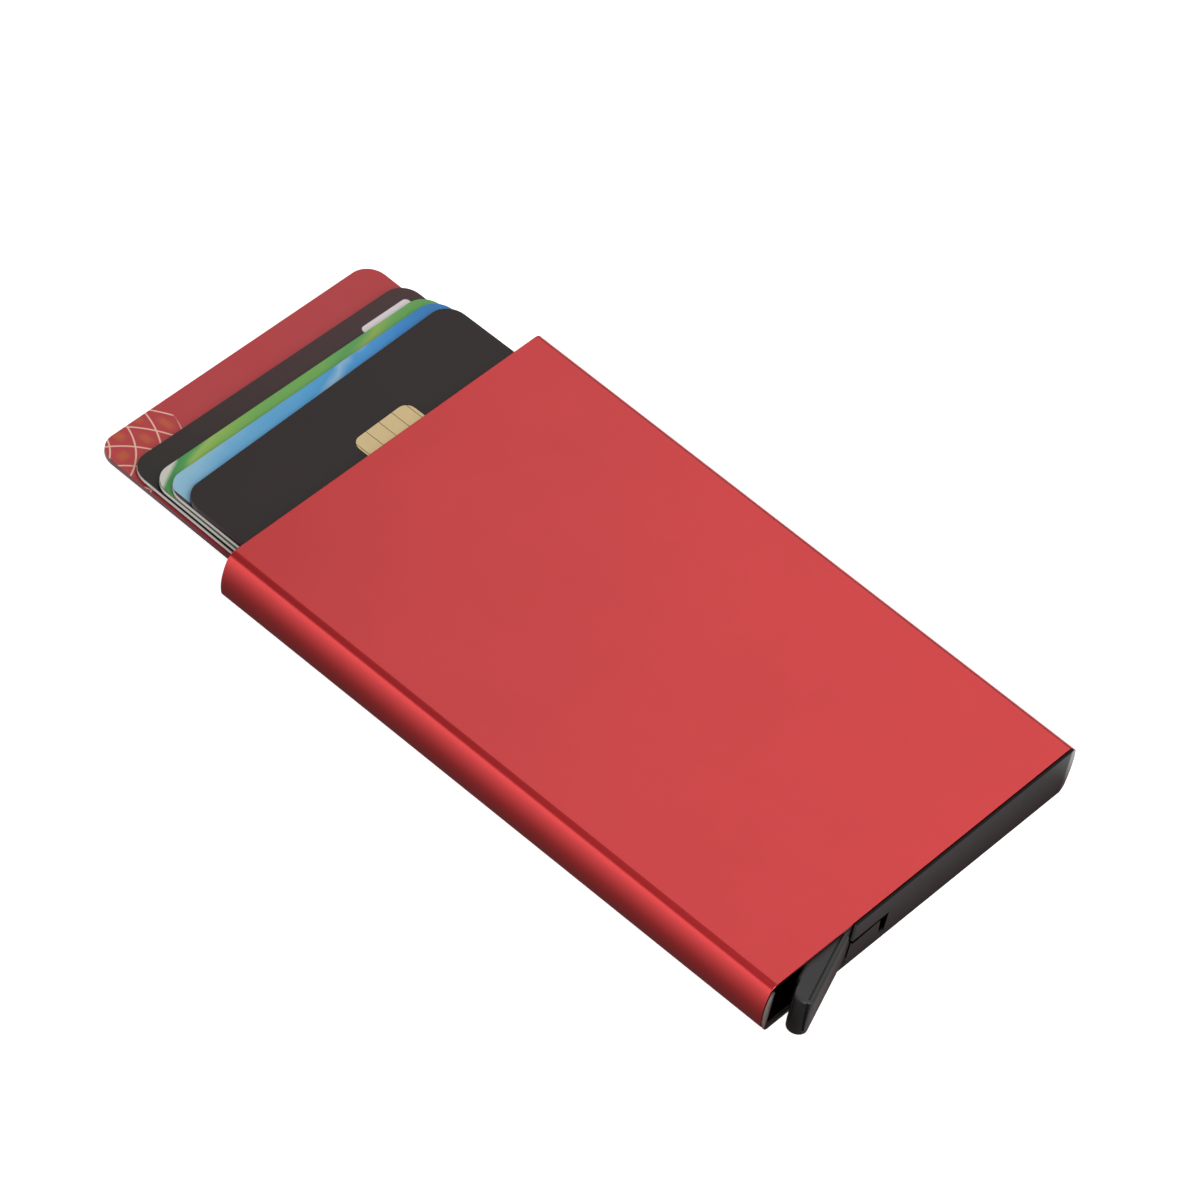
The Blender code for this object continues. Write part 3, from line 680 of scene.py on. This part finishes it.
# The lever lip's dark colour is painted shade.
leverPatches = [(gripFace, {"colour": "141313", "roughness": 0.42, "gloss": 0.18})]
railLook = {"colour": "1D1C1C", "pale": "222121", "grain": 0.15, "roughness": 0.55}
greenStops = [
    (0.0, "C6C4BD"), (0.10, "C2C2B6"), (0.13, "3A8A46"), (0.18, "4A964C"), (0.22, "8DB052"), (0.30, "7AA84A"),
    (0.44, "66A24C"), (0.66, "68A24A"), (0.76, "4F9850"), (0.81, "86A94A"), (0.90, "60A04E"), (1.0, "5A9A4C"),
]
blueStops = [
    (0.0, "92B9CB"), (0.16, "84B3CB"), (0.32, "5FA1CA"), (0.5, "4F9BCA"), (0.62, "4294C8"),
    (0.68, "88B2CF"), (0.75, "3F90CB"), (0.88, "2A80C4"), (1.0, "2A75B4"),
]
# Painted shade along the blue card's near edge, from this y outwards.
blueEdgeShade = {"y": -26.6, "colour": "44282C"}

finishes = {
    "sleeve": anodisedAluminium(),
    "end_cap": mouldedPlastic("black moulded ABS", capLook, capPatches),
    "ejector_lever": mouldedPlastic("dark grey moulded ABS", leverLook, leverPatches),
    "pivot_pin": drawnSteel("ground steel pin", (4000, 4000, 300)),
    "guide_rail_near": mouldedPlastic("matt guide plastic", railLook),
    "friction_strip_near": pressedFelt(),
    "pressure_spring": drawnSteel("rolled spring steel", (200, 5000, 5000)),
    "card_red": redCard(),
    "card_charcoal": charcoalCard(),
    "card_green": sweptCard("card_green", "green printed card", greenStops, 3.5),
    "card_blue": sweptCard("card_blue", "blue printed card", blueStops, 5.0, blueEdgeShade),
    "card_black": blackCard(),
}
finishes["guide_rail_far"] = finishes["guide_rail_near"]
finishes["friction_strip_far"] = finishes["friction_strip_near"]
print("materials made")


# Pieces with a soft copy: width and steps of the rounded edge. The sleeve's solid is rounded already.
softEdges = {
    "sleeve": None,
    "end_cap": (0.06, 2),
    "ejector_lever": (0.16, 3),
    "card_red": (0.05, 2),
    "card_charcoal": (0.05, 2),
    "card_green": (0.05, 2),
    "card_blue": (0.05, 2),
    "card_black": (0.05, 2),
}
smoothing = {"merge": 0.001 * mm, "flat": 0.5, "sharp": 34, "cut": 0.0005 * mm}


def sharpEdges(bm):
    limit = math.radians(smoothing["sharp"])
    return [e for e in bm.edges if len(e.link_faces) == 2 and e.calc_face_angle() > limit]


def topFaces(bm, high):
    level = high - smoothing["merge"]
    return [f for f in bm.faces if f.normal.z > 0.999 and min(v.co.z for v in f.verts) > level]


def sinkFaces(bm, sunk, depth):
    made = bmesh.ops.extrude_face_region(bm, geom=sunk)
    lowered = [v for v in made["geom"] if isinstance(v, bmesh.types.BMVert)]
    bmesh.ops.translate(bm, verts=lowered, vec=(0, 0, -depth * mm))
    bmesh.ops.delete(bm, geom=[f for f in sunk if f.is_valid], context="FACES")


# The fine line along the lever's top, in mm: from the pivot outwards and towards the tip.
thumbLine = {"pivot": (45.65, -15.56, 0), "out": (1.50, 1.79), "along": (1.45, 13.95), "deep": 0.5}


def carveThumbLine(bm):
    # The mould's line between the lever's body and the plate that faces outwards.
    turn = math.radians(leverOpen)
    out = Vector((math.cos(turn), math.sin(turn), 0))
    way = Vector((math.sin(turn), -math.cos(turn), 0))
    pivot = Vector(thumbLine["pivot"]) * mm
    high = max(v.co.z for v in bm.verts)
    for axis, key in ((out, "out"), (way, "along")):
        for far in thumbLine[key]:
            geom = topFaces(bm, high)
            geom += list({e for f in geom for e in f.edges}) + list({v for f in geom for v in f.verts})
            bmesh.ops.bisect_plane(bm, geom=geom, dist=smoothing["cut"], plane_co=pivot + axis * far * mm,
                                   plane_no=axis)
    sunk = []
    for face in topFaces(bm, high):
        spot = (face.calc_center_median() - pivot) / mm
        inLine = thumbLine["out"][0] < spot.dot(out) < thumbLine["out"][1]
        if inLine and thumbLine["along"][0] < spot.dot(way) < thumbLine["along"][1]:
            sunk.append(face)
    sinkFaces(bm, sunk, thumbLine["deep"])


def softCopy(name):
    # A copy of the CAD node with its triangles joined up, softened edges and smooth curves.
    bm = bmesh.new()
    bm.from_mesh(frame["nodes"][name].data)
    bmesh.ops.remove_doubles(bm, verts=bm.verts, dist=smoothing["merge"])
    bmesh.ops.dissolve_limit(bm, angle_limit=math.radians(smoothing["flat"]), verts=bm.verts,
                             edges=bm.edges)
    soft = softEdges[name]
    if soft:
        bmesh.ops.bevel(bm, geom=sharpEdges(bm), offset=soft[0] * mm, segments=soft[1], profile=0.5,
                        affect="EDGES", clamp_overlap=True, loop_slide=True, material=-1)
    if name == "ejector_lever":
        carveThumbLine(bm)
    for face in bm.faces:
        face.smooth = True
    for edge in sharpEdges(bm):
        edge.smooth = False
    mesh = bpy.data.meshes.new(name + "_soft")
    bm.to_mesh(mesh)
    bm.free()
    piece = bpy.data.objects.new(name + "_soft", mesh)
    scene.collection.objects.link(piece)
    weigh = piece.modifiers.new("evenShade", "WEIGHTED_NORMAL")
    weigh.keep_sharp = True
    mesh.materials.append(finishes[name])
    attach(piece, bodyOf[name])
    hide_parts(name)


bodyOf = {}
for body, members in frame["record"]["behaviour"]["bodies"].items():
    for member in members:
        bodyOf[member] = body

for name in frame["nodes"]:
    if name in softEdges:
        softCopy(name)
    elif name in finishes:
        slots = frame["nodes"][name].data.materials
        slots.clear()
        slots.append(finishes[name])
print("sleeve, cap, lever and cards dressed")

# The contact plate: lead is its distance from the card's leading edge, proud is what shows above the card.
chip = {
    "lead": 8.7, "long": 12.7, "wide": 11.35, "shift": 3.06, "thick": 0.25, "proud": 0.02, "round": 1.6,
    "grooves": (-5.37, -2.66, -0.05, 2.58, 5.13), "columns": (4.5, 8.2),
    "grooveWide": 0.10, "grooveDeep": 0.04,
}


def cutThrough(bm, place, way):
    bmesh.ops.bisect_plane(bm, geom=bm.verts[:] + bm.edges[:] + bm.faces[:], dist=smoothing["cut"],
                           plane_co=place, plane_no=way)


def contactPlate():
    # The module's foil: rounded plate whose contacts are parted by fine grooves.
    bm = bmesh.new()
    bmesh.ops.create_cube(bm, size=1.0)
    bmesh.ops.scale(bm, vec=(chip["long"] * mm, chip["wide"] * mm, chip["thick"] * mm), verts=bm.verts)
    upright = [e for e in bm.edges if abs(e.verts[0].co.z - e.verts[1].co.z) > chip["thick"] * mm / 2]
    bmesh.ops.bevel(bm, geom=upright, offset=chip["round"] * mm, segments=6, profile=0.5, affect="EDGES",
                    material=-1)
    rows = [y * mm for y in chip["grooves"]]
    columns = [(x - chip["long"] / 2) * mm for x in chip["columns"]]
    half = chip["grooveWide"] * mm / 2
    top = chip["thick"] * mm / 2
    grooveFloor = top - chip["grooveDeep"] * mm
    for y in rows:
        for side in (-half, half):
            cutThrough(bm, (0, y + side, 0), (0, 1, 0))
    for x in columns:
        for side in (-half, half):
            cutThrough(bm, (x + side, 0, 0), (1, 0, 0))
    cutThrough(bm, (0, 0, grooveFloor), (0, 0, 1))
    sunk = []
    for face in topFaces(bm, top):
        middle = face.calc_center_median()
        inRow = any(abs(middle.y - y) < half for y in rows)
        inColumn = any(abs(middle.x - x) < half for x in columns)
        between = columns[0] < middle.x < columns[1]
        if inColumn or (inRow and not between):
            sunk.append(face)
    # Where a groove reaches the plate's side, the wall is open down to the groove's floor.
    mouths = {f for s in sunk for e in s.edges for f in e.link_faces if abs(f.normal.z) < 0.5}
    bmesh.ops.delete(bm, geom=list(mouths), context="FACES")
    sinkFaces(bm, sunk, chip["grooveDeep"])
    bmesh.ops.remove_doubles(bm, verts=bm.verts, dist=smoothing["merge"])
    ends = {e.link_faces[0] for e in bm.edges
            if len(e.link_faces) == 1 and e.verts[0].co.z > grooveFloor + smoothing["merge"]}
    bmesh.ops.delete(bm, geom=list(ends), context="FACES")
    for face in bm.faces:
        if abs(face.calc_center_median().z) < top - smoothing["merge"]:
            face.material_index = 1  # walls and groove floors
    card = cards["card_black"]
    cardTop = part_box("card_black")[1].z
    middleX = chip["lead"] + chip["long"] / 2
    place = (card["lead"][0] * mm, card["lead"][1] * mm, cardTop - top + chip["proud"] * mm)
    bmesh.ops.translate(bm, verts=bm.verts, vec=(middleX * mm, chip["shift"] * mm, 0))
    bmesh.ops.rotate(bm, cent=(0, 0, 0), matrix=Matrix.Rotation(math.radians(card["yaw"]), 3, "Z"),
                     verts=bm.verts)
    bmesh.ops.translate(bm, verts=bm.verts, vec=place)
    bmesh.ops.recalc_face_normals(bm, faces=bm.faces)
    mesh = bpy.data.meshes.new("contact_plate")
    bm.to_mesh(mesh)
    bm.free()
    plate = bpy.data.objects.new("contact_plate", mesh)
    scene.collection.objects.link(plate)
    mesh.materials.append(goldContact())
    mesh.materials.append(contactGap())
    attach(plate, bodyOf["chip_module"])
    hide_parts("chip_module")


contactPlate()
print("contact plate made")

scene.view_settings.view_transform = "Standard"
